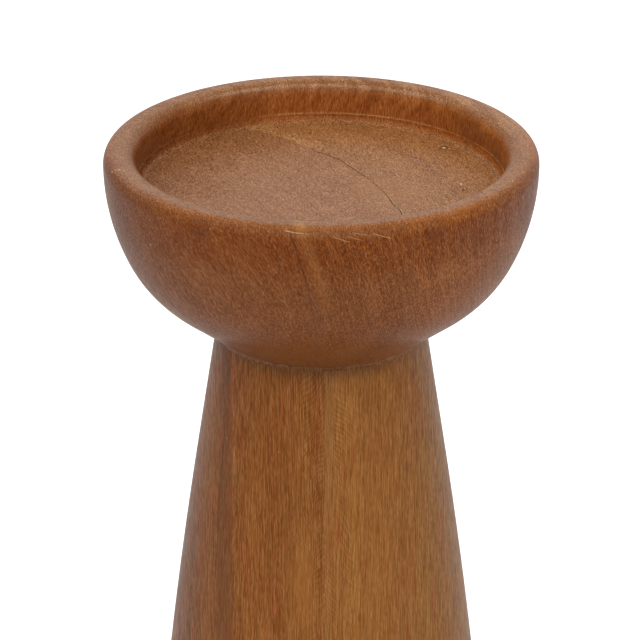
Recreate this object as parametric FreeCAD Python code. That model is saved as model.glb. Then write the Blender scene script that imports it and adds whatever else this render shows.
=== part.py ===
import FreeCAD, Part
import math
import os

# Turned wooden stand for one pillar candle: a dished cup on a tapered column.
# All lengths are in millimetres and all angles in degrees. The stand rests on z = 0 and
# its turning axis is the z axis.

# The whole stand
stand_height = 200.0          # table to the crest of the cup's rim

# The cup's outside, from the crest of the rim down to the column
cup_radius = 50.0
crest_round = 2.6             # round at the outer side of the crest
crest_turn = 59.0             # how far that round turns
shoulder_round = 4.0          # wider round that carries on until the wall is upright
side_round = 49.0             # long arc of the bowl's side
side_turn = 26.6
belly_round = 29.9            # tighter arc under the side
belly_turn = 26.6             # below it the underside runs straight to the neck
neck_cove = 1.5               # hollow round where the underside meets the column

# The rim and the candle recess in the cup
rim_flat = 1.3                # narrow level ring on top of the rim
recess_lip_round = 3.5        # round at the inner side of the rim, down to the upright wall
recess_depth = 9.7
recess_floor_cove = 2.0       # hollow round between wall and floor

# The column
neck_radius = 24.6            # at the joint with the cup
column_taper = 8.69           # angle between the upper side and the axis
column_taper_run = 30.8       # height of the straight upper stretch
column_swell_round = 1350.0   # very wide arc that the rest of the side follows
foot_round = 2.5              # rounded bottom edge

# The boards that the column is glued from, side by side along x
board_names = ["column_board_left_outer", "column_board_left_inner",
               "column_board_right_inner", "column_board_right_outer"]
turning_waste = 0.8           # what the lathe takes off the sides of the glued block at the foot
middle_glue_line = 0.8        # the glue line between the middle boards misses the axis by this

# The dowel between cup and column, and its two drilled holes
dowel_radius = 6.0
dowel_in_cup = 22.0
dowel_in_column = 28.0
dowel_chamfer = 1.2
dowel_clearance = 0.05        # radial gap for the glue
dowel_end_gap = 1.0           # gap beyond each end, to the full width of the hole
flute_count = 16
flute_depth = 0.3
flute_cutter_radius = 0.7
drill_point_angle = 118.0

# The felt disc under the base
felt_thickness = 1.5
felt_margin = 3.0             # ring of bare wood between the disc and the rounded edge

# Every cut runs past the surface it opens by this
overrun = 5.0


def sine(angle):
    return math.sin(math.radians(angle))


def cosine(angle):
    return math.cos(math.radians(angle))


def tangent(angle):
    return math.tan(math.radians(angle))


class Outline:
    """A half section in the x-z plane. The heading is the angle that the path makes with the
    outward radius, counted downwards, so 0 runs outwards and 90 runs straight down."""

    def __init__(self, radius, height, heading):
        self.radius = radius
        self.height = height
        self.heading = heading
        self.edges = []

    def point(self):
        return FreeCAD.Vector(self.radius, 0, self.height)

    def line_to(self, radius, height):
        start = self.point()
        self.radius = radius
        self.height = height
        self.edges.append(Part.LineSegment(start, self.point()).toShape())

    def line_along(self, length):
        self.line_to(self.radius + length * cosine(self.heading),
                     self.height - length * sine(self.heading))

    def move_on_arc(self, bend, turn):
        """Follow a tangent arc. A positive turn bends downwards and inwards, a negative one back."""
        side = math.copysign(bend, turn)
        heading = self.heading + turn
        self.radius += side * (sine(heading) - sine(self.heading))
        self.height += side * (cosine(heading) - cosine(self.heading))
        self.heading = heading

    def arc(self, bend, turn):
        start = self.point()
        self.move_on_arc(bend, turn / 2)
        middle = self.point()
        self.move_on_arc(bend, turn / 2)
        self.edges.append(Part.Arc(start, middle, self.point()).toShape())

    def revolved(self):
        face = Part.Face(Part.Wire(self.edges))
        return face.revolve(FreeCAD.Vector(0, 0, 0), FreeCAD.Vector(0, 0, 1), 360)


def arc_reach(bend, start, turn):
    """How far outwards a tangent arc goes, and how far down."""
    side = math.copysign(bend, turn)
    return (side * (sine(start + turn) - sine(start)),
            side * (cosine(start) - cosine(start + turn)))


# Headings of the cup's outline where its arcs meet
upright = 90.0
side_end = upright + side_turn
underside = side_end + belly_turn
column_start = upright - column_taper

# Steps outwards and down along the cup's outline
crest_step = arc_reach(crest_round, 0, crest_turn)
shoulder_step = arc_reach(shoulder_round, crest_turn, upright - crest_turn)
side_step = arc_reach(side_round, upright, side_turn)
belly_step = arc_reach(belly_round, side_end, belly_turn)
cove_step = arc_reach(neck_cove, underside, column_start - underside)

# The straight underside closes the way from the belly to the cove
crest_radius = cup_radius - crest_step[0] - shoulder_step[0]
recess_radius = crest_radius - rim_flat - recess_lip_round
belly_end_radius = cup_radius + side_step[0] + belly_step[0]
underside_run = (belly_end_radius + cove_step[0] - neck_radius) / -cosine(underside)
cup_height = (crest_step[1] + shoulder_step[1] + side_step[1] + belly_step[1]
              + underside_run * sine(underside) + cove_step[1])

# Heights
joint_height = stand_height - cup_height
recess_floor = stand_height - recess_depth
column_foot = felt_thickness

# The column's side below the straight stretch
taper_end_radius = neck_radius + column_taper_run * tangent(column_taper)
swell_height = joint_height - column_foot - column_taper_run - foot_round
swell_turn = math.degrees(math.acos(cosine(column_start) - swell_height / column_swell_round)) - column_start
foot_start = column_start + swell_turn
foot_turn = 2 * upright - foot_start
foot_radius = taper_end_radius + arc_reach(column_swell_round, column_start, swell_turn)[0]
foot_edge_bend = foot_round / arc_reach(1, foot_start, foot_turn)[1]
base_flat_radius = foot_radius + arc_reach(foot_edge_bend, foot_start, foot_turn)[0]
felt_radius = base_flat_radius - felt_margin
board_thickness = 2 * (foot_radius + turning_waste) / len(board_names)


def drilled_hole(mouth_height, depth, direction):
    """A blind dowel hole with a drill point. The direction is 1 for up and -1 for down."""
    radius = dowel_radius + dowel_clearance
    point_depth = radius / tangent(drill_point_angle / 2)
    hole = Outline(0, mouth_height - direction * overrun, 0)
    hole.line_to(radius, mouth_height - direction * overrun)
    hole.line_to(radius, mouth_height + direction * depth)
    hole.line_to(0, mouth_height + direction * (depth + point_depth))
    hole.line_to(0, mouth_height - direction * overrun)
    return hole.revolved()


def cup():
    """The bowl with its recess, turned from one block, with the upper dowel hole in its foot."""
    bowl = Outline(0, joint_height, 0)
    bowl.line_to(0, recess_floor)
    bowl.line_to(recess_radius - recess_floor_cove, recess_floor)
    bowl.arc(recess_floor_cove, -upright)
    bowl.line_to(recess_radius, stand_height - recess_lip_round)
    bowl.arc(recess_lip_round, upright)
    bowl.line_to(crest_radius, stand_height)
    bowl.arc(crest_round, crest_turn)
    bowl.arc(shoulder_round, upright - crest_turn)
    bowl.arc(side_round, side_turn)
    bowl.arc(belly_round, belly_turn)
    bowl.line_along(underside_run)
    bowl.arc(neck_cove, column_start - underside)
    bowl.line_to(0, joint_height)
    return bowl.revolved().cut(drilled_hole(joint_height, dowel_in_cup + dowel_end_gap, 1))


def column():
    """The whole tapered column before it is told apart into boards, with the lower dowel hole."""
    body = Outline(0, joint_height, 0)
    body.line_to(neck_radius, joint_height)
    body.line_to(taper_end_radius, joint_height - column_taper_run)
    body.heading = column_start
    body.arc(column_swell_round, swell_turn)
    body.arc(foot_edge_bend, foot_turn)
    body.line_to(0, column_foot)
    body.line_to(0, joint_height)
    return body.revolved().cut(drilled_hole(joint_height, dowel_in_column + dowel_end_gap, -1))


def board(turned, left_face, right_face):
    """The slice of the turned column between two upright faces square to x."""
    reach = foot_radius + overrun
    slab = Part.makeBox(right_face - left_face, 2 * reach, joint_height + 2 * overrun,
                        FreeCAD.Vector(left_face, -reach, -overrun))
    return turned.common(slab)


def column_boards():
    """The boards by name, from left to right. The two outer ones start thicker than the rest."""
    count = len(board_names)
    faces = [middle_glue_line + (place - count / 2) * board_thickness for place in range(count + 1)]
    faces[0] -= overrun
    faces[-1] += overrun
    turned = column()
    return {name: board(turned, faces[place], faces[place + 1]) for place, name in enumerate(board_names)}


def joint_dowel():
    """The chamfered rod with glue flutes along its side."""
    top = joint_height + dowel_in_cup
    bottom = joint_height - dowel_in_column
    rod = Outline(0, top, 0)
    rod.line_to(dowel_radius - dowel_chamfer, top)
    rod.line_to(dowel_radius, top - dowel_chamfer)
    rod.line_to(dowel_radius, bottom + dowel_chamfer)
    rod.line_to(dowel_radius - dowel_chamfer, bottom)
    rod.line_to(0, bottom)
    rod.line_to(0, top)
    cutter_place = dowel_radius + flute_cutter_radius - flute_depth
    cutters = []
    for flute in range(flute_count):
        around = 360 * flute / flute_count
        foot = FreeCAD.Vector(cutter_place * cosine(around), cutter_place * sine(around), bottom - overrun)
        cutters.append(Part.makeCylinder(flute_cutter_radius, top - bottom + 2 * overrun, foot))
    return rod.revolved().cut(cutters)


def felt_pad():
    return Part.makeCylinder(felt_radius, felt_thickness)


def write_part(name, shape):
    """Write the one solid of a piece to its own file."""
    shape.Solids[0].exportStep("parts/" + name + ".step")


os.makedirs("parts", exist_ok=True)
pieces = {"cup": cup(), "joint_dowel": joint_dowel(), "felt_pad": felt_pad()}
pieces.update(column_boards())
for name, shape in pieces.items():
    write_part(name, shape)
    box = shape.BoundBox
    print(name, "solids", len(shape.Solids), "valid", shape.isValid(), "volume", round(shape.Volume, 1),
          "low", round(box.ZMin, 3), "high", round(box.ZMax, 3))
print("joint height", round(joint_height, 3), "cup height", round(cup_height, 3),
      "base radius", round(foot_radius, 3), "felt radius", round(felt_radius, 3))
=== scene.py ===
import math

import bmesh
import bpy
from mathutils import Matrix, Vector


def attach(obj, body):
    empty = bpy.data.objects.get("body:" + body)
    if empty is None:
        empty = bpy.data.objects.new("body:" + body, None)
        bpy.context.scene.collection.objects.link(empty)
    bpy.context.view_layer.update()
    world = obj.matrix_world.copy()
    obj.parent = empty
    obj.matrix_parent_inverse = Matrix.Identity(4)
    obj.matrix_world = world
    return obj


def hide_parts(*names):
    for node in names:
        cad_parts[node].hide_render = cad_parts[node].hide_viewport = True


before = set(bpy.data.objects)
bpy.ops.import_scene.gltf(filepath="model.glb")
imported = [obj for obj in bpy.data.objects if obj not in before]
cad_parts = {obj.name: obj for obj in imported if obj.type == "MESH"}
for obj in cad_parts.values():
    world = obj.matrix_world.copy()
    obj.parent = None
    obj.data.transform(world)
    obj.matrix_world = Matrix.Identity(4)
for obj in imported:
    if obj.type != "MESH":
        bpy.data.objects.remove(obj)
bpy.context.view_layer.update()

millimetre = 0.001


# The felt disc is brown pressed wool, punched out round and glued under the foot of the
# column so that the stand doesn't scratch a table. Its punched edge is a little soft.
felt_radius = 36.835 * millimetre
felt_thickness = 1.5 * millimetre
felt_edge_round = 0.35 * millimetre
felt_ring = 3 * millimetre
felt_ring_count = 11
felt_smooth_angle = math.radians(50)
# corners closer together than this are welded into one
weld_gap = 0.001 * millimetre
felt_brown = (0.036, 0.024, 0.017, 1.0)
felt_light_fibre = (0.075, 0.054, 0.040, 1.0)


def begin_piece(name):
    """Name the primitive that was just added, and go into edit mode on it."""
    piece = bpy.context.object
    piece.name = name
    piece.data.name = name
    bpy.ops.object.mode_set(mode="EDIT")
    return piece


def finish_piece(piece, finish, slot, *nodes):
    """Give the piece its finish and put it in place of the plain solids that it stands for."""
    piece.data.materials.clear()
    piece.data.materials.append(finish)
    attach(piece, "root")
    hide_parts(*nodes)
    piece.select_set(False)


def node(finish, kind, **inputs):
    """Add a shader node. An input is a value, or the output of another node."""
    made = finish.node_tree.nodes.new(kind)
    for title, value in inputs.items():
        socket = made.inputs[title.replace("_", " ")]
        if isinstance(value, bpy.types.NodeSocket):
            finish.node_tree.links.new(value, socket)
        else:
            socket.default_value = value
    return made


def maths(finish, operation, *terms):
    """One step of arithmetic on numbers or outputs."""
    step = finish.node_tree.nodes.new("ShaderNodeMath")
    step.operation = operation
    for socket, term in zip(step.inputs, terms):
        if isinstance(term, bpy.types.NodeSocket):
            finish.node_tree.links.new(term, socket)
        else:
            socket.default_value = term
    return step.outputs["Value"]


def ramp(finish, value, low, high, low_to=0.0, high_to=1.0):
    """Follow the value smoothly between two limits and hold it outside them."""
    step = node(finish, "ShaderNodeMapRange", Value=value, From_Min=low, From_Max=high,
                To_Min=low_to, To_Max=high_to)
    step.interpolation_type = "SMOOTHSTEP"
    return step.outputs["Result"]


def colour_mix(finish, share, under, over, blend="MIX"):
    """Lay one colour over another by a share from 0 to 1."""
    mix = finish.node_tree.nodes.new("ShaderNodeMix")
    mix.data_type = "RGBA"
    mix.blend_type = blend
    for socket, value in ((mix.inputs[0], share), (mix.inputs[6], under), (mix.inputs[7], over)):
        if isinstance(value, bpy.types.NodeSocket):
            finish.node_tree.links.new(value, socket)
        else:
            socket.default_value = value
    return mix.outputs[2]


def noise(finish, place, across, along, detail=2.0, seed=0.0, roughness=0.5, deep=1.0):
    """Streaks that are so many millimetres wide and long, along the z axis of the place. They
    reach deeper along y than they are wide, by a factor."""
    stretch = node(finish, "ShaderNodeMapping", Vector=place,
                   Location=(seed, seed * 0.7, seed * 1.3),
                   Scale=(1 / across, 1 / (across * deep), 1 / along))
    made = node(finish, "ShaderNodeTexNoise", Vector=stretch.outputs["Vector"], Scale=1.0,
                Detail=detail, Roughness=roughness)
    return made.outputs["Fac"]


def new_finish(name):
    """An empty finish with its shader."""
    finish = bpy.data.materials.new(name)
    finish.use_nodes = True
    return finish, finish.node_tree.nodes["Principled BSDF"]


def own_place(finish, origin=(0, 0, 0), turn=(0, 0, 0)):
    """Object coordinates in millimetres, from an origin and along turned axes."""
    coordinates = finish.node_tree.nodes.new("ShaderNodeTexCoord")
    place = node(finish, "ShaderNodeMapping", Vector=coordinates.outputs["Object"])
    place.vector_type = "TEXTURE"
    place.inputs["Location"].default_value = [length * millimetre for length in origin]
    place.inputs["Rotation"].default_value = [math.radians(angle) for angle in turn]
    place.inputs["Scale"].default_value = (millimetre, millimetre, millimetre)
    return place.outputs["Vector"]


def link(finish, output, shader, title):
    finish.node_tree.links.new(output, shader.inputs[title])


def bump(finish, shader, height, depth):
    """Raise and lower the surface by a height from 0 to 1 times a depth in millimetres."""
    made = node(finish, "ShaderNodeBump", Height=height, Strength=1.0, Distance=depth * millimetre)
    link(finish, made.outputs["Normal"], shader, "Normal")


def felt_finish():
    """Matted wool: dark tufts with lighter fibres over them."""
    finish, shader = new_finish("felt")
    place = own_place(finish)
    tufts = noise(finish, place, 1.6, 1.6, 4.0, 3.0, 0.7)
    fibres = noise(finish, place, 0.25, 0.25, 3.0, 9.0, 0.6)
    shade = colour_mix(finish, ramp(finish, tufts, 0.35, 0.7), felt_brown, felt_light_fibre)
    shade = colour_mix(finish, ramp(finish, fibres, 0.55, 0.75, 0.0, 0.5), shade, felt_light_fibre)
    link(finish, shade, shader, "Base Color")
    link(finish, ramp(finish, tufts, 0.2, 0.8, 0.88, 0.98), shader, "Roughness")
    shader.inputs["Sheen Weight"].default_value = 0.25
    shader.inputs["Sheen Roughness"].default_value = 0.5
    matted = maths(finish, "MULTIPLY_ADD", fibres, 0.5, tufts)
    bump(finish, shader, matted, 0.25)
    return finish


bpy.ops.object.select_all(action="DESELECT")
bpy.ops.mesh.primitive_cylinder_add(vertices=144, radius=felt_radius, depth=felt_thickness,
                                    location=(0, 0, felt_thickness / 2))
felt_disc = begin_piece("felt_disc")
bpy.ops.mesh.select_all(action="SELECT")
bpy.ops.mesh.bevel(offset=felt_edge_round, segments=3, affect="EDGES")
bpy.ops.mesh.select_all(action="DESELECT")
felt_mesh = bmesh.from_edit_mesh(felt_disc.data)
half_of_disc = 0.5 * math.pi * felt_radius ** 2
for face in felt_mesh.faces:
    face.select_set(abs(face.normal.z) > 0.99 and face.calc_area() > half_of_disc)
bmesh.update_edit_mesh(felt_disc.data)
for inward_step in range(felt_ring_count):
    bpy.ops.mesh.inset(thickness=felt_ring)
bpy.ops.mesh.poke()
bpy.ops.mesh.select_all(action="SELECT")
bpy.ops.mesh.remove_doubles(threshold=weld_gap)
bpy.ops.mesh.normals_make_consistent(inside=False)
bpy.ops.object.mode_set(mode="OBJECT")
bpy.ops.object.transform_apply(location=True, rotation=True, scale=True)
bpy.ops.object.shade_smooth_by_angle(angle=felt_smooth_angle)
finish_piece(felt_disc, felt_finish(), "felt", "felt_pad")


# The column is four upright boards of straight-grained golden brown wood, glued side by side
# across the stand and then turned to one slender cone with a slightly swelling side. The
# outer left board is darker, and ripples in the grain meet like herringbone at the middle line.
column_foot = 1.5 * millimetre
column_top = 154.674 * millimetre
neck_radius = 24.6 * millimetre
column_taper = 8.69
column_taper_run = 30.8 * millimetre
column_swell_round = 1350 * millimetre
foot_round = 2.5 * millimetre
dowel_hole_radius = 6.05 * millimetre
column_hole_depth = 29 * millimetre
drill_point = 3.635 * millimetre
turning_steps = 288
wood_smooth_angle = math.radians(30)
# the glue lines across the stand, in millimetres as the finishes use them
left_line = -20.69
middle_line = 0.8
right_line = 22.29
# where a saw cut misses the column altogether
beyond = 1.0
# ripples in the grain: their slope, the millimetres that they wander, and their turn in
# radians per millimetre
ripple_slope = 1.5
ripple_wander = 9.0
ripple_turn = 4.6
# the height that the dark band starts to lean from, and two pale pin marks
band_top = 153.0
pin_places = ((-21.81, -17.04, 134.5), (-9.89, -25.77, 135.0))
varnish_ior = 1.32
# the share and colour of the painted shadow at the joint of the cup and the column
joint_shadow_share = 0.44
joint_shadow_brown = (0.075, 0.034, 0.013, 1.0)
reddish_patch = (0.31, 0.066, 0.014, 1.0)
# the next two colours also give the painted shadow and painted light edge at the middle glue line
shadow_line = (0.125, 0.040, 0.012, 1.0)
light_line = (0.36, 0.17, 0.058, 1.0)
pore_brown = (0.090, 0.026, 0.007, 1.0)
pale_gold = (0.400, 0.150, 0.028, 1.0)
dark_light = (0.240, 0.079, 0.0137, 1.0)
dark_deep = (0.198, 0.065, 0.0112, 1.0)
brown_light = (0.285, 0.096, 0.0165, 1.0)
brown_deep = (0.245, 0.081, 0.0137, 1.0)
golden_light = (0.318, 0.121, 0.0235, 1.0)
golden_deep = (0.278, 0.103, 0.0195, 1.0)
red_light = (0.330, 0.132, 0.0235, 1.0)
red_deep = (0.288, 0.114, 0.0198, 1.0)
# each board's name and finish, its two tones, where in the tree its pattern starts, how many
# degrees its grain leans, and how strong its fine grain is
boards = (
    ("left_outer", "dark_column_wood", dark_light, dark_deep, 31.0, 0.6, 0.8),
    ("left_inner", "brown_column_wood", brown_light, brown_deep, 57.0, -0.5, 1.1),
    ("right_inner", "golden_column_wood", golden_light, golden_deep, 83.0, 0.4, 0.8),
    ("right_outer", "red_column_wood", red_light, red_deep, 117.0, -0.8, 0.8),
)


class Turning:
    """Half of a turned outline, drawn in the x-z plane and then spun round the z axis.
    The heading is 0 outwards and 90 straight down."""

    def __init__(self, name, radius, height, heading=0.0):
        bpy.ops.object.select_all(action="DESELECT")
        bpy.ops.mesh.primitive_plane_add(size=millimetre, location=(0, 0, 0))
        self.piece = begin_piece(name)
        bpy.ops.mesh.select_all(action="SELECT")
        bpy.ops.mesh.merge(type="CENTER")
        bpy.ops.transform.translate(value=(radius, 0, height))
        self.radius = radius
        self.height = height
        self.heading = heading

    def line_to(self, radius, height, steps=1):
        stride = Vector((radius - self.radius, 0, height - self.height)) / steps
        for step in range(steps):
            bpy.ops.mesh.extrude_region_move(TRANSFORM_OT_translate={"value": stride})
        self.radius = radius
        self.height = height

    def line_along(self, length, steps=1):
        down = math.radians(self.heading)
        self.line_to(self.radius + length * math.cos(down),
                     self.height - length * math.sin(down), steps)

    def arc(self, bend, turn, steps):
        """Follow a tangent arc. A positive turn bends downwards and inwards."""
        side = math.copysign(bend, turn)
        start = math.radians(self.heading)
        end = math.radians(self.heading + turn)
        middle = (self.radius - side * math.sin(start), 0, self.height - side * math.cos(start))
        bpy.ops.mesh.spin(steps=steps, angle=math.radians(turn), center=middle, axis=(0, -1, 0))
        self.radius += side * (math.sin(end) - math.sin(start))
        self.height += side * (math.cos(end) - math.cos(start))
        self.heading += turn

    def spun(self):
        """Spin the outline into a closed solid, still in edit mode and all selected."""
        bpy.ops.mesh.select_all(action="SELECT")
        bpy.ops.mesh.spin(steps=turning_steps, angle=2 * math.pi, center=(0, 0, 0), axis=(0, 0, 1))
        bpy.ops.mesh.select_all(action="SELECT")
        bpy.ops.mesh.remove_doubles(threshold=2 * weld_gap)
        bpy.ops.mesh.normals_make_consistent(inside=False)


def turned_column():
    """The whole cone, with the blind dowel hole in its top."""
    column = Turning("turned_column", 0, column_top - column_hole_depth - drill_point)
    column.line_to(dowel_hole_radius, column_top - column_hole_depth)
    column.line_to(dowel_hole_radius, column_top)
    column.line_to(neck_radius, column_top, 3)
    column.heading = 90 - column_taper
    column.line_along(column_taper_run / math.cos(math.radians(column_taper)), 8)
    start = math.radians(column.heading)
    swell_height = column.height - column_foot - foot_round
    swell_turn = math.degrees(math.acos(math.cos(start) - swell_height / column_swell_round) - start)
    column.arc(column_swell_round, swell_turn, 32)
    foot_start = math.radians(column.heading)
    foot_bend = foot_round / (math.cos(foot_start) + 1)
    column.arc(foot_bend, 180 - column.heading, 14)
    column.line_to(0, column_foot, 4)
    column.spun()
    return column.piece


def cut_board(column, name, left, right):
    """Saw a copy of the turned column along the two glue lines beside one board."""
    bpy.ops.object.select_all(action="DESELECT")
    column.select_set(True)
    bpy.context.view_layer.objects.active = column
    bpy.ops.object.duplicate()
    board = begin_piece("board_" + name)
    for cut, keep_right in ((left, True), (right, False)):
        if abs(cut) < beyond:
            bpy.ops.mesh.select_all(action="SELECT")
            bpy.ops.mesh.bisect(plane_co=(cut, 0, 0), plane_no=(1, 0, 0), use_fill=True,
                                clear_inner=keep_right, clear_outer=not keep_right,
                                threshold=weld_gap)
    bpy.ops.mesh.select_all(action="SELECT")
    bpy.ops.mesh.remove_doubles(threshold=weld_gap)
    bpy.ops.mesh.normals_make_consistent(inside=False)
    bpy.ops.object.mode_set(mode="OBJECT")
    bpy.ops.object.transform_apply(location=True, rotation=True, scale=True)
    bpy.ops.object.shade_smooth_by_angle(angle=wood_smooth_angle)
    return board


def strands(finish, place, across, along, seed, detail=1.0, deep=1.0):
    """Streaks in the wood as a value from -1 to 1."""
    value = noise(finish, place, across, along, detail, seed, 0.5, deep)
    return ramp(finish, value, 0.34, 0.66, -1.0, 1.0)


def within(finish, value, middle, half, soft):
    """1 where the value is within half a width of the middle, and 0 further away."""
    away = maths(finish, "ABSOLUTE", maths(finish, "SUBTRACT", value, middle))
    return ramp(finish, away, half - soft, half + soft, 1.0, 0.0)


def all_of(finish, *shares):
    """The product of several shares."""
    product = shares[0]
    for share in shares[1:]:
        product = maths(finish, "MULTIPLY", product, share)
    return product


def distance_to(finish, place, point):
    away = node(finish, "ShaderNodeVectorMath", Vector=place)
    away.operation = "DISTANCE"
    away.inputs[1].default_value = point
    return away.outputs["Value"]


def tone_of(finish, *layers):
    """How much darker or lighter than 1 the streaks make the wood, each layer by its strength."""
    total = 0.0
    for strength, layer in layers:
        total = maths(finish, "MULTIPLY_ADD", layer, strength, total)
    return maths(finish, "EXPONENT", total)


def toned(finish, shade, tone):
    """Darken and lighten a colour. The light streaks come out paler and the dark ones redder."""
    green = maths(finish, "POWER", tone, 1.45)
    blue = maths(finish, "POWER", tone, 2.2)
    tint = node(finish, "ShaderNodeCombineColor", Red=tone, Green=green, Blue=blue)
    return colour_mix(finish, 1.0, shade, tint.outputs["Color"], "MULTIPLY")


def varnish(finish, shader, tone, fibres, unevenness):
    """Satin varnish that shines more on the light streaks than in the dark ones."""
    shader.inputs["IOR"].default_value = varnish_ior
    share = maths(finish, "MULTIPLY", maths(finish, "SUBTRACT", tone, 1.0), unevenness)
    link(finish, maths(finish, "MULTIPLY_ADD", share, 0.5, 0.5), shader, "Specular IOR Level")
    link(finish, ramp(finish, fibres, -1.0, 1.0, 0.32, 0.40), shader, "Roughness")


def ripple_figure(finish, whole, here, aside, wander):
    """Ripples across the grain in patches, rising to the middle glue line from both sides."""
    slant = maths(finish, "MULTIPLY_ADD", aside, ripple_slope, here["Z"])
    slant = maths(finish, "MULTIPLY_ADD", wander, ripple_wander, slant)
    ripple = maths(finish, "SINE", maths(finish, "MULTIPLY", slant, ripple_turn))
    patch = noise(finish, whole, 5.0, 16.0, 1.0, 6.0)
    return all_of(finish, ripple, ramp(finish, aside, 3.0, 9.0, 1.0, 0.0),
                  ramp(finish, patch, 0.35, 0.6, 0.25, 1.0))


def red_strands(finish, shade, place, whole):
    """Thin red strands that gather in loose patches."""
    strand = noise(finish, place, 0.55, 16.0, 2.0, 21.0, 0.5, 6.0)
    patch = ramp(finish, noise(finish, whole, 4.5, 22.0, 2.0, 7.0), 0.40, 0.68, 0.66, 0.44)
    red = maths(finish, "MULTIPLY", maths(finish, "SUBTRACT", strand, patch), 8.0)
    return colour_mix(finish, ramp(finish, red, 0.0, 1.0, 0.0, 0.42), shade, reddish_patch)


def middle_line_shading(finish, shade, side):
    """A broad faint painted shadow left of the middle glue line, and a painted light edge right of it.
    """
    darker = all_of(finish, ramp(finish, side, -5.0, -0.6), ramp(finish, side, 0.0, 0.05, 1.0, 0.0),
                    0.05)
    shade = colour_mix(finish, darker, shade, shadow_line)
    lighter = all_of(finish, ramp(finish, side, 0.0, 0.05), ramp(finish, side, 0.6, 2.2, 1.0, 0.0),
                     0.15)
    return colour_mix(finish, lighter, shade, light_line)


def dark_band(finish, shade, here, wander):
    """A dark band in the outer left board along its glue line, with a thin darker line in it."""
    drop = maths(finish, "SUBTRACT", band_top, here["Z"])
    banded_x = maths(finish, "MULTIPLY_ADD", drop, 0.036, here["X"])
    band = all_of(finish, ramp(finish, banded_x, -23.6, -21.8, 0.0, 0.36),
                  ramp(finish, here["X"], left_line - 0.06, left_line + 0.04, 1.0, 0.0))
    shade = colour_mix(finish, band, shade, shadow_line)
    lined_x = maths(finish, "MULTIPLY_ADD", drop, 0.062, here["X"])
    lined_x = maths(finish, "MULTIPLY_ADD", wander, 0.9, lined_x)
    line = all_of(finish, within(finish, lined_x, -21.0, 0.17, 0.09),
                  ramp(finish, here["Z"], 133.0, 139.0, 1.0, 0.0),
                  ramp(finish, here["Z"], 96.0, 112.0), 0.55)
    return colour_mix(finish, line, shade, pore_brown)


def column_finish(name, light, deep, shift, lean, contrast):
    """Straight-grained wood with dark pores under satin varnish, for one board."""
    finish, shader = new_finish(name)
    place = own_place(finish, (shift, 2 * shift, 5 * shift), (lean, 0.4 * lean, 0))
    whole = own_place(finish)
    here = node(finish, "ShaderNodeSeparateXYZ", Vector=whole).outputs
    side = maths(finish, "SUBTRACT", here["X"], middle_line)
    aside = maths(finish, "ABSOLUTE", side)
    wander = noise(finish, place, 6.0, 30.0, 1.0, 2.0)

    # the grain, from broad bands to hairs and dashes
    bands = strands(finish, place, 6.0, 300.0, 4.0, 1.0, 6.0)
    streaks = strands(finish, place, 0.9, 50.0, 8.0, 2.0, 8.0)
    fibres = strands(finish, place, 0.36, 14.0, 5.0, 1.0, 8.0)
    hairs = strands(finish, place, 0.15, 9.0, 27.0, 0.0, 8.0)
    dashes = strands(finish, place, 0.16, 1.8, 17.0, 0.0, 3.0)
    ripple = ripple_figure(finish, whole, here, aside, wander)
    shade = colour_mix(finish, ramp(finish, bands, -1.0, 1.0), deep, light)
    shade = red_strands(finish, shade, place, whole)
    tone = tone_of(finish, (0.03, streaks), (0.04, fibres), (0.17 * contrast, hairs),
                   (0.13 * contrast, dashes), (0.10, ripple))
    # painted shade: the inner boards are a little darker towards their outer edges
    side_shade = all_of(finish, ramp(finish, aside, 4.0, 16.0, 1.02, 0.94),
                      ramp(finish, aside, 21.0, 22.0, 1.0, 1.05))
    shade = toned(finish, shade, all_of(finish, tone, side_shade))

    shade = middle_line_shading(finish, shade, side)
    shade = dark_band(finish, shade, here, wander)
    # a paler golden patch low on the inner left board
    gold_patch = all_of(finish, within(finish, here["X"], -4.8, 2.75, 2.25),
                        within(finish, here["Z"], 103.0, 11.5, 8.5), 0.36)
    shade = colour_mix(finish, gold_patch, shade, pale_gold)
    for point in pin_places:
        pin = ramp(finish, distance_to(finish, whole, point), 0.12, 0.30, 0.8, 0.0)
        shade = colour_mix(finish, pin, shade, light_line)

    # open pores, closer together in some strips than in others
    pores = noise(finish, place, 0.18, 9.0, 0.0, 11.0, 0.5, 7.0)
    strip = noise(finish, place, 2.6, 70.0, 2.0, 15.0, 0.5, 4.0)
    pore_edge = ramp(finish, strip, 0.3, 0.7, 0.70, 0.61)
    open_pore = maths(finish, "MULTIPLY", maths(finish, "SUBTRACT", pores, pore_edge), 14.0)
    open_pore = ramp(finish, open_pore, 0.0, 1.0, 0.0, 0.40)
    shade = colour_mix(finish, open_pore, shade, pore_brown)
    # a painted shadow darkens the wood at the joint with the cup
    joint = all_of(finish, ramp(finish, here["Z"], 151.5, 154.6, 0.0, joint_shadow_share),
                   ramp(finish, here["Y"], -24.0, -14.0, 1.0, 0.4))
    shade = colour_mix(finish, joint, shade, joint_shadow_brown)

    link(finish, shade, shader, "Base Color")
    varnish(finish, shader, tone, fibres, 1.8)
    bump(finish, shader, maths(finish, "MULTIPLY_ADD", open_pore, -1.5, fibres), 0.010)
    return finish


whole_column = turned_column()
bpy.ops.object.mode_set(mode="OBJECT")
glue_lines = [line * millimetre for line in (left_line, middle_line, right_line)]
board_edges = (-beyond, *glue_lines, beyond)
for board_place, (board_name, *board_wood) in enumerate(boards):
    board = cut_board(whole_column, board_name, board_edges[board_place], board_edges[board_place + 1])
    slot_name = "dark_column_wood" if board_name == "left_outer" else "column_wood"
    finish_piece(board, column_finish(*board_wood), slot_name, "column_board_" + board_name)
bpy.data.objects.remove(whole_column)


# The dowel is a fluted rod of pale bare beech, glued half into the column and half into the
# cup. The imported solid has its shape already, so it only gets its own wood here.
beech_light = (0.60, 0.40, 0.22, 1.0)
beech_deep = (0.50, 0.31, 0.15, 1.0)
beech_fleck = (0.33, 0.17, 0.07, 1.0)


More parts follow.
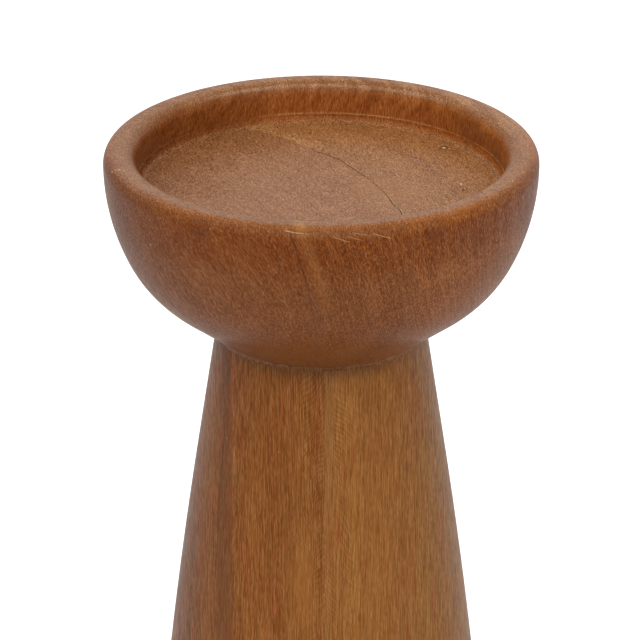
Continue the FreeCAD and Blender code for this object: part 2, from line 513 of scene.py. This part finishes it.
def dowel_finish():
    """Bare beech with its short dark flecks."""
    finish, shader = new_finish("bare_beech")
    place = own_place(finish, (5, 3, 0), (0.5, 0.3, 0))
    bands = noise(finish, place, 1.4, 60.0, 3.0, 2.0, 0.6)
    flecks = noise(finish, place, 0.22, 1.5, 1.0, 4.0)
    shade = colour_mix(finish, ramp(finish, bands, 0.35, 0.65), beech_deep, beech_light)
    shade = colour_mix(finish, ramp(finish, flecks, 0.64, 0.7, 0.0, 0.6), shade, beech_fleck)
    link(finish, shade, shader, "Base Color")
    link(finish, ramp(finish, bands, 0.3, 0.7, 0.62, 0.72), shader, "Roughness")
    bump(finish, shader, flecks, 0.03)
    return finish


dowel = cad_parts["joint_dowel"]
dowel.data.materials.clear()
dowel.data.materials.append(dowel_finish())


# The cup is one dished bowl, turned from a block of reddish brown wood whose grain leans over
# towards the front, and varnished satin. The recess has a level floor with a hollow round, a
# fine tool line above it and a soft lip. The rings of the tree cross the floor as arcs.
cup_top = 200 * millimetre
recess_floor = 190.3 * millimetre
recess_radius = 42.4 * millimetre
floor_cove = 2.0 * millimetre
tool_line_width = 0.22 * millimetre
tool_line_rise = 0.05 * millimetre
tool_line_height = 192.42 * millimetre
recess_lip_round = 3.5 * millimetre
rim_flat = 1.3 * millimetre
crest_round = 2.6 * millimetre
crest_turn = 59.0
shoulder_round = 4.0 * millimetre
side_round = 49.0 * millimetre
side_turn = 26.6
belly_round = 29.9 * millimetre
belly_turn = 26.6
neck_cove = 1.5 * millimetre
cup_hole_depth = 23 * millimetre
# for the finish: heights, places and distances from the pith of the tree in millimetres,
# and the leans of the grain in degrees
top_height = 200.0
floor_height = 190.3
pith_place = (-28.3, -32.6, floor_height)
grain_lean = (-47.97, -8.0, 0.0)
lying_fibre_lean = (84.0, 0.0, 25.0)
crack_ring = 48.5
purple_ring = 63.2
knot_place = (28.87, 24.67, floor_height)
varnish_tint = (1.0, 0.90, 0.78, 1.0)
cup_brown = (0.220, 0.060, 0.0098, 1.0)
cup_gold = (0.272, 0.076, 0.0115, 1.0)
floor_pink = (0.200, 0.065, 0.0130, 1.0)
floor_gold = (0.213, 0.072, 0.0142, 1.0)
floor_light = (0.300, 0.128, 0.0350, 1.0)
wall_red = (0.310, 0.086, 0.0170, 1.0)
rim_tan = (0.186, 0.067, 0.0160, 1.0)
lip_pale = (0.40, 0.25, 0.15, 1.0)
warm_brown = (0.205, 0.043, 0.002, 1.0)
# the pale tan of the painted sheen along the bowl's left edge
edge_sheen_tan = (0.40, 0.19, 0.06, 1.0)
purple_brown = (0.170, 0.062, 0.030, 1.0)
# also the colour of painted shadows and shade in the recess, on the floor and on the rim
streak_and_shadow_brown = (0.110, 0.030, 0.009, 1.0)
# also the colour of the painted highlight on the tool line
streak_and_highlight_gold = (0.42, 0.185, 0.050, 1.0)
crack_brown = (0.022, 0.010, 0.006, 1.0)
grey_brown = (0.110, 0.068, 0.048, 1.0)
# pale flecks of the wood, also the colour of the painted glints
fleck_and_glint_pale = (0.68, 0.50, 0.30, 1.0)
scratch_cream = (0.74, 0.48, 0.22, 1.0)
# the start and end of each scratch on the front of the rim, as x and z, half its width and share
rim_scratches = (
    ((-8.0, 199.10), (-5.9, 198.80), 0.05, 0.80),
    ((-5.7, 198.82), (-4.0, 198.66), 0.06, 0.65),
    ((-3.6, 198.60), (-2.2, 198.70), 0.04, 0.40),
    ((2.8, 198.00), (6.2, 196.80), 0.06, 0.50),
    ((5.8, 198.05), (8.8, 197.10), 0.05, 0.45),
    ((11.3, 198.35), (15.2, 196.92), 0.06, 0.52),
    ((7.5, 198.60), (10.8, 197.95), 0.05, 0.32),
)
# the place of each small mark, its size, share and colour: the knot, pits and dark patches on
# the floor, pale flecks on the bowl, a broad pale patch on the floor, deeper patches of the lip
# and rim, a golden patch on the rim in front, and a worn nick at its left
small_marks = (
    (knot_place, 0.38, 0.9, fleck_and_glint_pale),
    ((30.15, 24.2, floor_height), 0.25, 0.7, fleck_and_glint_pale),
    ((31.6, 22.5, floor_height), 1.0, 0.35, streak_and_shadow_brown),
    ((32.17, 1.5, floor_height), 0.33, 1.0, fleck_and_glint_pale),
    ((-23.1, 1.9, floor_height), 0.42, 0.6, grey_brown),
    ((-22.5, 1.1, floor_height), 0.32, 0.5, grey_brown),
    ((8.9, -2.24, floor_height), 0.22, 0.8, crack_brown),
    ((24.0, 28.5, floor_height), 0.40, 0.6, crack_brown),
    ((35.0, 10.7, floor_height), 0.50, 0.5, purple_brown),
    ((36.1, 9.1, floor_height), 0.60, 0.5, purple_brown),
    ((-38.1, -32.1, 195.0), 0.20, 0.8, fleck_and_glint_pale),
    ((-38.1, -31.2, 188.7), 0.20, 0.8, fleck_and_glint_pale),
    ((-24.4, -43.4, 197.4), 0.20, 0.7, fleck_and_glint_pale),
    ((-21.8, -44.7, 197.5), 0.20, 0.7, fleck_and_glint_pale),
    ((-27.3, -41.5, 197.8), 0.16, 0.7, fleck_and_glint_pale),
    ((-20.0, -45.4, 193.0), 0.18, 0.6, fleck_and_glint_pale),
    ((35.0, -33.7, 199.2), 0.20, 0.7, fleck_and_glint_pale),
    ((39.1, -30.1, 189.3), 0.20, 0.7, fleck_and_glint_pale),
    ((15.0, -3.0, floor_height), 9.00, 0.30, floor_light),
    ((34.5, 23.5, 196.0), 5.50, 0.35, streak_and_shadow_brown),
    ((25.0, -42.6, 196.8), 3.00, 0.30, streak_and_shadow_brown),
    ((-26.3, -41.8, 197.0), 3.00, 0.35, streak_and_shadow_brown),
    ((-4.6, -47.7, 199.6), 1.30, 0.30, streak_and_highlight_gold),
    ((-47.33, -13.42, 199.15), 0.26, 0.55, scratch_cream),
    ((-46.5, -13.8, 199.62), 0.26, 0.45, scratch_cream),
    ((-45.7, -14.1, 199.92), 0.32, 0.55, scratch_cream),
    ((-44.6, -14.9, 200.00), 0.24, 0.45, scratch_cream),
)


def turned_cup():
    """The bowl, from the middle of its recess over the rim and down to the blind dowel hole."""
    cup = Turning("turned_cup", 0, recess_floor)
    cup.line_to(recess_radius - tool_line_width - floor_cove, recess_floor, 40)
    cup.heading = 0.0
    cup.arc(floor_cove, -90, 10)
    cup.line_to(recess_radius - tool_line_width, tool_line_height)
    cup.line_to(recess_radius, tool_line_height + tool_line_rise)
    cup.line_to(recess_radius, cup_top - recess_lip_round, 5)
    cup.heading = -90.0
    cup.arc(recess_lip_round, 90, 16)
    cup.line_to(cup.radius + rim_flat, cup_top, 3)
    cup.arc(crest_round, crest_turn, 10)
    cup.arc(shoulder_round, 90 - crest_turn, 6)
    cup.arc(side_round, side_turn, 24)
    cup.arc(belly_round, belly_turn, 16)
    column_start = 90 - column_taper
    down = math.radians(cup.heading)
    cove_reach = neck_cove * (math.sin(down) - math.sin(math.radians(column_start)))
    cup.line_along((cup.radius + cove_reach - neck_radius) / -math.cos(down), 14)
    cup.arc(neck_cove, column_start - cup.heading, 8)
    cup.line_to(dowel_hole_radius, column_top, 3)
    cup.line_to(dowel_hole_radius, column_top + cup_hole_depth)
    cup.line_to(0, column_top + cup_hole_depth + drill_point)
    cup.spun()
    bpy.ops.object.mode_set(mode="OBJECT")
    bpy.ops.object.transform_apply(location=True, rotation=True, scale=True)
    bpy.ops.object.shade_smooth_by_angle(angle=wood_smooth_angle)
    return cup.piece


def from_axis(finish, x, y):
    """How far a place is from the z axis."""
    return maths(finish, "SQRT", maths(finish, "MULTIPLY_ADD", x, x, maths(finish, "MULTIPLY", y, y)))


def tree_rings(finish, whole):
    """A place along the grain, the distance from the pith of the tree, a little wavy, and a
    place that follows that distance."""
    grain = own_place(finish, pith_place, grain_lean)
    wood = node(finish, "ShaderNodeSeparateXYZ", Vector=grain).outputs
    waviness = maths(finish, "SUBTRACT", noise(finish, whole, 9.0, 9.0, 1.0, 1.0), 0.5)
    ring = maths(finish, "MULTIPLY_ADD", waviness, 2.4, from_axis(finish, wood["X"], wood["Y"]))
    along_ring = maths(finish, "MULTIPLY", wood["Z"], 0.03)
    ring_place = node(finish, "ShaderNodeCombineXYZ", X=ring, Y=along_ring).outputs["Vector"]
    return grain, ring, ring_place


def ring_colours(finish, here, ring, on_floor):
    """Reddish wood inside the cracked ring and golden wood outside it, palest far back on the
    floor, where a purple ring crosses it too."""
    outer_wood = ramp(finish, ring, crack_ring - 0.2, crack_ring + 0.2)
    shade = colour_mix(finish, outer_wood, cup_brown, cup_gold)
    floor_shade = colour_mix(finish, outer_wood, floor_pink, floor_gold)
    shade = colour_mix(finish, on_floor, shade, floor_shade)
    far_back = all_of(finish, on_floor, ramp(finish, here["Y"], 18.0, 32.0))
    just_outside = all_of(finish, outer_wood, far_back, 0.85,
                          ramp(finish, ring, crack_ring, crack_ring + 4.0, 1.0, 0.0))
    shade = colour_mix(finish, just_outside, shade, floor_light)
    just_inside = all_of(finish, within(finish, ring, crack_ring - 0.8, 0.6, 0.5), far_back, 0.22)
    shade = colour_mix(finish, just_inside, shade, purple_brown)
    purple = all_of(finish, within(finish, ring, purple_ring, 0.55, 0.45), on_floor,
                    within(finish, here["Y"], 5.0, 14.0, 4.0), 0.35)
    return colour_mix(finish, purple, shade, purple_brown)


def recess_wall(finish, shade, here, in_recess):
    """The wall is redder at the back, with a painted highlight on its fine tool line and a painted
    shadow under it, and painted shade over the tool line at the left.
    """
    at_back = all_of(finish, in_recess, ramp(finish, here["Y"], 5.0, 32.0))
    red_wall = all_of(finish, at_back, ramp(finish, here["Z"], 195.5, 198.0, 0.8, 0.0),
                      ramp(finish, here["Z"], 191.0, 192.2), ramp(finish, here["X"], -30.0, -5.0))
    shade = colour_mix(finish, red_wall, shade, wall_red)
    # a painted highlight along the tool line at the back, and a painted shadow just under it
    tool_reach = all_of(finish, at_back, within(finish, here["X"], 8.0, 19.0, 8.0))
    tool_line_highlight = all_of(finish, tool_reach, within(finish, here["Z"], 192.5, 0.25, 0.12), 0.40)
    shade = colour_mix(finish, tool_line_highlight, shade, streak_and_highlight_gold)
    tool_line_shadow = all_of(finish, tool_reach, within(finish, here["Z"], 191.95, 0.22, 0.12), 0.30)
    shade = colour_mix(finish, tool_line_shadow, shade, streak_and_shadow_brown)
    # painted shade over the tool line at the left hides its highlight there
    left_tool_line_shade = all_of(finish, in_recess, within(finish, here["Z"], 192.45, 0.10, 0.05),
                  ramp(finish, here["X"], -18.0, -8.0, 0.5, 0.0))
    return colour_mix(finish, left_tool_line_shade, shade, streak_and_shadow_brown), left_tool_line_shade


def floor_edge(finish, shade, here, radius):
    """The floor is duller towards the wall, and darkened at the back left by a painted shadow of the
    wall.
    """
    leftwards = maths(finish, "MULTIPLY", here["X"], -0.85)
    left_and_back = maths(finish, "MULTIPLY_ADD", here["Y"], 0.5, leftwards)
    to_left_back = maths(finish, "DIVIDE", left_and_back, radius)
    low_in_recess = all_of(finish, ramp(finish, radius, 43.0, 44.5, 1.0, 0.0),
                           within(finish, here["Z"], 191.0, 1.2, 0.5))
    # a painted shadow of the wall over the floor and its hollow round at the back left
    deep = all_of(finish, ramp(finish, radius, 16.0, 34.0, 0.0, 0.34),
                  ramp(finish, to_left_back, 0.60, 0.96), low_in_recess)
    sides = maths(finish, "MAXIMUM", ramp(finish, to_left_back, 0.35, 0.95),
                  ramp(finish, here["X"], 20.0, 38.0, 0.0, 0.7))
    dull = all_of(finish, ramp(finish, radius, 12.0, 34.0), sides, low_in_recess)
    return colour_mix(finish, deep, shade, streak_and_shadow_brown), dull


def rim_colours(finish, shade, here, radius):
    """The rim is paler and palest along its lip at the back; painted shade darkens its outer shoulder
    at both sides in front.
    """
    rim_share = all_of(finish, ramp(finish, here["Z"], 197.8, 199.2, 0.0, 0.8),
                       ramp(finish, radius, 47.4, 48.2, 1.0, 0.3))
    shade = colour_mix(finish, rim_share, shade, rim_tan)
    lip_edge = all_of(finish, within(finish, radius, 43.5, 0.35, 0.25),
                      ramp(finish, here["Z"], 198.0, 198.4),
                      ramp(finish, here["Y"], 26.0, 40.0, 0.0, 0.32))
    shade = colour_mix(finish, lip_edge, shade, lip_pale)
    # painted shade on the outer shoulder of the rim at both sides in front
    to_the_side = ramp(finish, maths(finish, "ABSOLUTE", here["X"]), 34.0, 41.0, 0.0, 0.38)
    front_shoulder_shade = all_of(finish, within(finish, radius, 49.2, 1.2, 0.8), to_the_side,
                         ramp(finish, here["Z"], 195.5, 197.0),
                         ramp(finish, here["Y"], -9.0, -2.0, 1.0, 0.0))
    return colour_mix(finish, front_shoulder_shade, shade, streak_and_shadow_brown)


def side_colours(finish, shade, here, radius, outside):
    """The side of the bowl is deepest under the rim and at the left, lit by a painted sheen along
    its left edge, and darkened by a painted shadow at the joint with the column."""
    below_rim = ramp(finish, here["Z"], 197.0, 198.5, 1.0, 0.0)
    under_rim = all_of(finish, ramp(finish, here["Z"], 184.0, 193.0, 0.0, 0.85), below_rim,
                       ramp(finish, radius, 44.5, 46.0))
    shade = colour_mix(finish, under_rim, shade, warm_brown)
    # a painted sheen along the left edge of the bowl, high and low
    leftwards = maths(finish, "DIVIDE", here["X"], radius)
    upper_edge_sheen = all_of(finish, outside, ramp(finish, leftwards, -0.995, -0.93, 0.5, 0.0),
                        ramp(finish, here["Z"], 166.0, 176.0),
                        ramp(finish, here["Z"], 196.5, 198.0, 1.0, 0.0))
    lower_edge_sheen = all_of(finish, ramp(finish, leftwards, -0.86, -0.62, 0.6, 0.0),
                        ramp(finish, here["Z"], 157.0, 160.0),
                        ramp(finish, here["Z"], 164.0, 174.0, 1.0, 0.0))
    shade = colour_mix(finish, maths(finish, "ADD", upper_edge_sheen, lower_edge_sheen), shade, edge_sheen_tan)
    left_side = all_of(finish, ramp(finish, here["X"], -48.0, -28.0, 0.32, 0.0),
                       ramp(finish, here["Z"], 174.0, 188.0),
                       ramp(finish, here["Z"], 197.0, 199.0, 1.0, 0.2))
    shade = colour_mix(finish, left_side, shade, streak_and_shadow_brown)
    # a painted shadow darkens the bowl at the joint with the column
    joint = all_of(finish, ramp(finish, here["Z"], 154.8, 157.6, joint_shadow_share, 0.0),
                   ramp(finish, here["Y"], -24.0, -14.0, 1.0, 0.4))
    return colour_mix(finish, joint, shade, joint_shadow_brown)


def leaning_place(finish, here):
    """A place whose fibres stand up in the side of the bowl, and lean to the left in front and
    to the right at the back."""
    lean = all_of(finish, ramp(finish, here["X"], -45.0, 45.0, 0.70, 0.05),
                  ramp(finish, here["Y"], -12.0, 12.0, 1.0, -0.4))
    height = maths(finish, "SUBTRACT", here["Z"], 195.0)
    leaning_x = maths(finish, "MULTIPLY_ADD", height, lean, here["X"])
    upright = node(finish, "ShaderNodeCombineXYZ", X=leaning_x, Y=here["Y"], Z=here["Z"])
    return upright.outputs["Vector"]


def front_streaks(finish, shade, here, front, streaks):
    """A dark streak with a golden one beside it runs down the front of the bowl."""
    depth = maths(finish, "SUBTRACT", top_height, here["Z"])
    bend = maths(finish, "MULTIPLY", depth, maths(finish, "MULTIPLY_ADD", depth, -0.005, 0.36))
    beside = maths(finish, "SUBTRACT", here["X"], maths(finish, "ADD", bend, -7.2))
    frayed = ramp(finish, streaks, -1.0, 0.5, 0.5, 1.0)
    dark = all_of(finish, within(finish, beside, 0.0, 0.20, 0.16), front, frayed,
                  ramp(finish, depth, 0.5, 4.0, 0.30, 0.85), ramp(finish, depth, 15.0, 22.0, 1.0, 0.3))
    shade = colour_mix(finish, dark, shade, streak_and_shadow_brown)
    wide = all_of(finish, within(finish, beside, 0.4, 1.4, 1.0), front,
                  ramp(finish, depth, 12.0, 20.0, 0.0, 0.20))
    shade = colour_mix(finish, wide, shade, purple_brown)
    gold = all_of(finish, within(finish, beside, 2.9, 1.0, 0.9), front, frayed,
                  ramp(finish, depth, 10.0, 26.0, 0.24, 0.0))
    return colour_mix(finish, gold, shade, streak_and_highlight_gold)


def fine_crack(finish, shade, here, ring, on_floor):
    """A fine crack along one ring of the floor, with a light edge outside it."""
    reach = all_of(finish, ramp(finish, here["Y"], 21.0, 27.0, 1.0, 0.0),
                   ramp(finish, here["Y"], -18.0, -17.0), on_floor)
    crack = all_of(finish, within(finish, ring, crack_ring, 0.10, 0.05), reach)
    edge = all_of(finish, within(finish, ring, crack_ring + 0.28, 0.08, 0.08), reach,
                  ramp(finish, here["Y"], -9.0, 1.0, 0.30, 0.0))
    shade = colour_mix(finish, edge, shade, fleck_and_glint_pale)
    return colour_mix(finish, all_of(finish, crack, 0.95), shade, crack_brown), crack


def marks_and_scratches(finish, shade, whole, here, front):
    """The knot's dark ring, the small marks, and pale scratches on the front of the rim."""
    knot_ring = within(finish, distance_to(finish, whole, knot_place), 0.95, 0.32, 0.2)
    shade = colour_mix(finish, all_of(finish, knot_ring, 0.5), shade, crack_brown)
    for point, size, share, tint in small_marks:
        mark = ramp(finish, distance_to(finish, whole, point), size * 0.6, size * 1.3, share, 0.0)
        shade = colour_mix(finish, mark, shade, tint)
    for (start_x, start_z), (end_x, end_z), half_width, share in rim_scratches:
        slope = (end_z - start_z) / (end_x - start_x)
        along = maths(finish, "SUBTRACT", here["X"], start_x)
        line = maths(finish, "MULTIPLY_ADD", along, slope, start_z)
        off_line = maths(finish, "SUBTRACT", here["Z"], line)
        mark = all_of(finish, within(finish, off_line, 0.0, half_width, 0.05), front, share,
                      within(finish, here["X"], (start_x + end_x) / 2, (end_x - start_x) / 2, 0.5))
        shade = colour_mix(finish, mark, shade, scratch_cream)
    return shade


def cup_finish():
    """Reddish brown wood with its rings, leaning fibres, crack and marks, under satin varnish."""
    finish, shader = new_finish("cup_wood")
    whole = own_place(finish)
    here = node(finish, "ShaderNodeSeparateXYZ", Vector=whole).outputs
    surface = node(finish, "ShaderNodeNewGeometry")
    facing_up = node(finish, "ShaderNodeSeparateXYZ", Vector=surface.outputs["Normal"]).outputs["Z"]
    level = ramp(finish, facing_up, 0.45, 0.80)
    on_floor = all_of(finish, within(finish, here["Z"], floor_height, 0.5, 0.2), level)
    radius = from_axis(finish, here["X"], here["Y"])
    in_recess = within(finish, radius, 42.0, 1.0, 0.4)
    outside = maths(finish, "MAXIMUM", ramp(finish, radius, 44.5, 46.0),
                    ramp(finish, here["Z"], 189.3, 189.8, 1.0, 0.0))
    front = ramp(finish, here["Y"], -36.0, -30.0, 1.0, 0.0)

    grain, ring, ring_place = tree_rings(finish, whole)
    shade = ring_colours(finish, here, ring, on_floor)
    shade, left_tool_line_shade = recess_wall(finish, shade, here, in_recess)
    shade, dull = floor_edge(finish, shade, here, radius)
    shade = rim_colours(finish, shade, here, radius)
    shade = side_colours(finish, shade, here, radius, outside)

    # the short fibres stand up in the side of the bowl and lie over on its floor and rim
    upright_fibres = leaning_place(finish, here)
    lying_fibres = own_place(finish, (0, 0, 0), lying_fibre_lean)
    up_share = all_of(finish, ramp(finish, level, 0.0, 1.0, 0.70, 0.0),
                      ramp(finish, outside, 0.0, 1.0, 0.85, 1.0))
    over_share = all_of(finish, level, ramp(finish, here["Z"], 195.0, 198.0, 1.25, 0.9))

    def both_ways(across, along, seed, detail=0.0):
        up = strands(finish, upright_fibres, across, along, seed, detail, 3.0)
        over = strands(finish, lying_fibres, across * 0.75, along * 0.5, seed, detail, 3.0)
        return maths(finish, "MULTIPLY_ADD", up, up_share, all_of(finish, over, over_share))

    streaks = both_ways(0.9, 14.0, 8.0, 2.0)
    fibres = both_ways(0.32, 3.0, 5.0, 1.0)
    hairs = both_ways(0.14, 2.2, 27.0)
    dashes = both_ways(0.13, 1.0, 17.0)
    mottle = strands(finish, grain, 4.0, 10.0, 6.0, 3.0)
    bands = strands(finish, ring_place, 5.0, 5.0, 3.0, 2.0)
    lip_rings = all_of(finish, strands(finish, ring_place, 1.7, 1.7, 33.0, 2.0),
                       ramp(finish, here["Z"], 193.0, 196.5), ramp(finish, here["Y"], -5.0, 20.0),
                       ramp(finish, here["X"], -30.0, 10.0, 0.4, 1.0))
    wall_streaks = all_of(finish, strands(finish, upright_fibres, 0.35, 3.5, 51.0, 1.0, 3.0),
                          in_recess, ramp(finish, here["X"], -38.0, -20.0, 3.0, 1.0))
    # long streaks run down the side, mostly at the right
    streaked = all_of(finish, outside, ramp(finish, here["X"], -12.0, 10.0, 0.35, 1.0),
                      ramp(finish, here["Z"], 196.0, 198.5, 1.0, 0.0))
    side_streaks = all_of(finish, strands(finish, upright_fibres, 0.50, 40.0, 63.0, 2.0, 16.0),
                          streaked)
    tone = tone_of(finish, (0.05, wall_streaks), (0.11, side_streaks), (0.22, lip_rings),
                   (0.05, bands), (0.04, mottle), (0.05, streaks), (0.03, fibres), (0.28, hairs),
                   (0.28, dashes))
    shade = toned(finish, shade, tone)

    open_pore = all_of(finish, ramp(finish, both_ways(0.20, 1.6, 11.0), 0.48, 0.65, 0.0, 0.30),
                       ramp(finish, level, 0.0, 1.0, 1.0, 0.1))
    shade = colour_mix(finish, open_pore, shade, pore_brown)
    dark_lines = strands(finish, upright_fibres, 0.28, 30.0, 71.0, 1.0, 20.0)
    dark_lines = all_of(finish, ramp(finish, dark_lines, 0.45, 0.95, 0.0, 0.22), streaked)
    shade = colour_mix(finish, dark_lines, shade, pore_brown)
    # painted glints: pale flecks where the edges of the pores catch the light
    glint_flecks = ramp(finish, both_ways(0.22, 0.6, 41.0), 0.55, 0.75, 0.0, 0.13)
    shade = colour_mix(finish, glint_flecks, shade, fleck_and_glint_pale)
    shade = front_streaks(finish, shade, here, front, streaks)
    shade, crack = fine_crack(finish, shade, here, ring, on_floor)
    shade = marks_and_scratches(finish, shade, whole, here, front)

    link(finish, shade, shader, "Base Color")
    # the varnish doesn't shine in the crack or on the tool line at the left under its painted shade,
    # and less at the floor's edge
    dulled = maths(finish, "MULTIPLY", maths(finish, "MAXIMUM", crack, left_tool_line_shade), -0.7)
    dulled = maths(finish, "MULTIPLY_ADD", dull, -0.45, dulled)
    varnish(finish, shader, maths(finish, "ADD", dulled, tone), fibres, 1.3)
    shader.inputs["Specular Tint"].default_value = varnish_tint
    hollows = maths(finish, "MULTIPLY_ADD", crack, 1.5, open_pore)
    bump(finish, shader, maths(finish, "MULTIPLY_ADD", hollows, -1.5, fibres), 0.012)
    return finish


finish_piece(turned_cup(), cup_finish(), "cup_wood", "cup")


# The stage is a white table under a wide overhead soft box, in a room with pale walls at the
# front and back and dim ones at the sides. The camera looks down at the cup from the front.
floor_size = 6.0
floor_white = (0.6, 0.6, 0.6, 1.0)
shown_white = 0.65
black = (0.0, 0.0, 0.0, 1.0)
pure_white = (1.0, 1.0, 1.0, 1.0)
front_wall_in_gloss = 0.25
soft_box_size = 1.0
soft_box_watts = 7.4
soft_box_place = Vector((0.0, 0.05, 1.25))
soft_box_aim = Vector((0, 0, 0.12))
camera_target = Vector((-0.28, 0, 156.86)) * millimetre
camera_distance = 1000 * millimetre
camera_elevation = math.radians(23.35)
camera_lens = 241.5

bpy.ops.object.select_all(action="DESELECT")
bpy.ops.mesh.primitive_plane_add(size=floor_size, location=(0, 0, 0))
floor = bpy.context.object
floor.name = "white_table"
white_table, table_shader = new_finish("white_table")
table_shader.inputs["Roughness"].default_value = 0.8
table_shader.inputs["Specular IOR Level"].default_value = 0.0
table_shader.inputs["Emission Color"].default_value = pure_white
seen = node(white_table, "ShaderNodeLightPath").outputs
link(white_table, maths(white_table, "MULTIPLY", seen["Is Camera Ray"], shown_white),
     table_shader, "Emission Strength")
# the varnish mirrors little of the near side of the table
table_place = node(white_table, "ShaderNodeTexCoord").outputs["Object"]
table_y = node(white_table, "ShaderNodeSeparateXYZ", Vector=table_place).outputs["Y"]
near_side = ramp(white_table, table_y, -0.40, -0.12, 0.8, 0.0)
table_shade = maths(white_table, "MULTIPLY", seen["Is Glossy Ray"], near_side)
link(white_table, colour_mix(white_table, table_shade, floor_white, black), table_shader, "Base Color")
floor.data.materials.append(white_table)

room = bpy.data.worlds.new("studio")
room.use_nodes = True
bpy.context.scene.world = room
backdrop = room.node_tree.nodes["Background"]
direction = node(room, "ShaderNodeTexCoord").outputs["Generated"]
facing = node(room, "ShaderNodeSeparateXYZ", Vector=direction).outputs
downwards = maths(room, "MULTIPLY", facing["Z"], -1.0)
level_part = maths(room, "MULTIPLY_ADD", downwards, facing["Z"], 1.0001)


def wall(axis, sign, below, above):
    """The light of one wall of the room, below and above the height that the camera shows."""
    share = maths(room, "MAXIMUM", maths(room, "MULTIPLY", facing[axis], sign), 0.0)
    share = maths(room, "DIVIDE", maths(room, "MULTIPLY", share, share), level_part)
    return all_of(room, share, ramp(room, facing["Z"], 0.35, 0.50, below, above))


room_paths = node(room, "ShaderNodeLightPath").outputs
front_share = maths(room, "MULTIPLY_ADD", room_paths["Is Glossy Ray"], front_wall_in_gloss - 1.0, 1.0)
front_wall = all_of(room, wall("Y", -1, 0.95, 2.70), front_share)
back_wall = wall("Y", 1, 0.80, 1.57)
left_wall = wall("X", -1, 0.15, 0.75)
right_wall = wall("X", 1, 0.50, 0.15)
front_and_back = maths(room, "ADD", back_wall, front_wall)
both_sides = maths(room, "ADD", left_wall, right_wall)
walls = all_of(room, maths(room, "ADD", front_and_back, both_sides),
               ramp(room, facing["Z"], 0.80, 0.90, 1.0, 0.0))
backdrop.inputs["Color"].default_value = pure_white
link(room, maths(room, "MAXIMUM", walls, room_paths["Is Camera Ray"]), backdrop, "Strength")

soft_box = bpy.data.lights.new("overhead_soft_box", "AREA")
soft_box.shape = "RECTANGLE"
soft_box.size = soft_box_size
soft_box.size_y = soft_box_size
soft_box.energy = soft_box_watts
lamp = bpy.data.objects.new("overhead_soft_box", soft_box)
bpy.context.scene.collection.objects.link(lamp)
lamp.location = soft_box_place
lamp.rotation_euler = (soft_box_aim - soft_box_place).to_track_quat("-Z", "Y").to_euler()
lamp.visible_glossy = False

camera = bpy.data.objects.new("camera", bpy.data.cameras.new("camera"))
bpy.context.scene.collection.objects.link(camera)
camera_back = Vector((0, -math.cos(camera_elevation), math.sin(camera_elevation)))
camera.location = camera_target + camera_distance * camera_back
camera.rotation_euler = (-camera_back).to_track_quat("-Z", "Y").to_euler()
camera.data.lens = camera_lens
camera.data.sensor_width = 36
camera.data.clip_start = 0.05
camera.data.clip_end = 20
bpy.context.scene.camera = camera
bpy.context.scene.view_settings.view_transform = "Standard"
